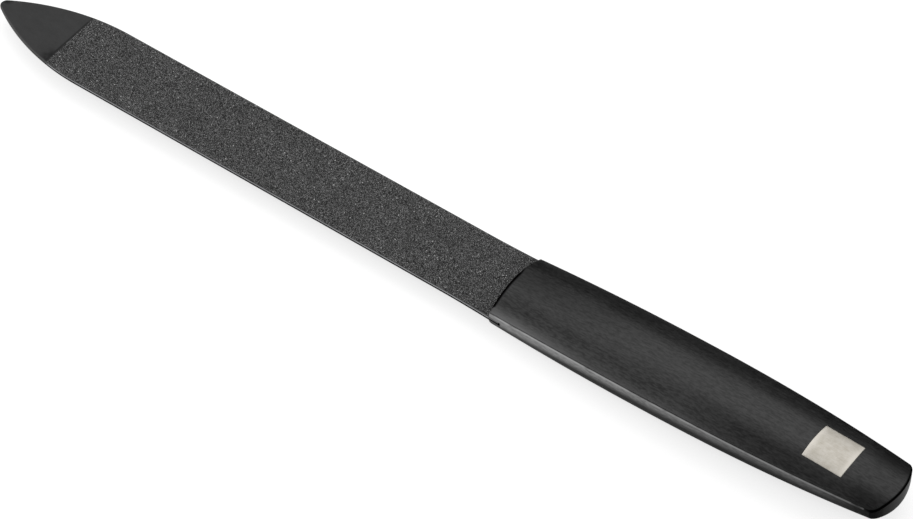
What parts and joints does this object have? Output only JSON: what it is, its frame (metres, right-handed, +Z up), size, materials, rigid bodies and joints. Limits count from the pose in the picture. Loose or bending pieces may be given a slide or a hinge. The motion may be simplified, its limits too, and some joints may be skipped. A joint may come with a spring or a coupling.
{
  "type": "sapphire nail file",
  "caption": "Slim hand file for nails: thin pointed steel blade with an abrasive sapphire coat on each face, bonded into a barrel-shaped brushed black metal handle.",
  "frame": {"origin": "on the floor under the handle's lowest point, midway between the tip and the butt, on the file's long middle line", "axes": "+X along the file towards the butt of the handle, so the blade's tip points to -X; +Y across the blade; +Z up, square to the blade's coarse face"},
  "size_m": [0.1598, 0.0138, 0.0068],
  "materials": {
    "blade_steel": "satin black coated spring steel",
    "grit_coarse": "coarse sapphire grit in a dark metal bond",
    "grit_fine": "fine sapphire grit in a dark metal bond",
    "adhesive": "cured epoxy",
    "handle_metal": "black coated, brushed lengthwise, satin",
    "plate_metal": "bare warm nickel tone, satin"
  },
  "bodies": {
    "root": {"blade": "blade_steel", "grit_coarse_upper": "grit_coarse", "grit_fine_lower": "grit_fine", "tang_adhesive": "adhesive", "handle": "handle_metal", "inlay_plate": "plate_metal"}
  },
  "joints": []
}
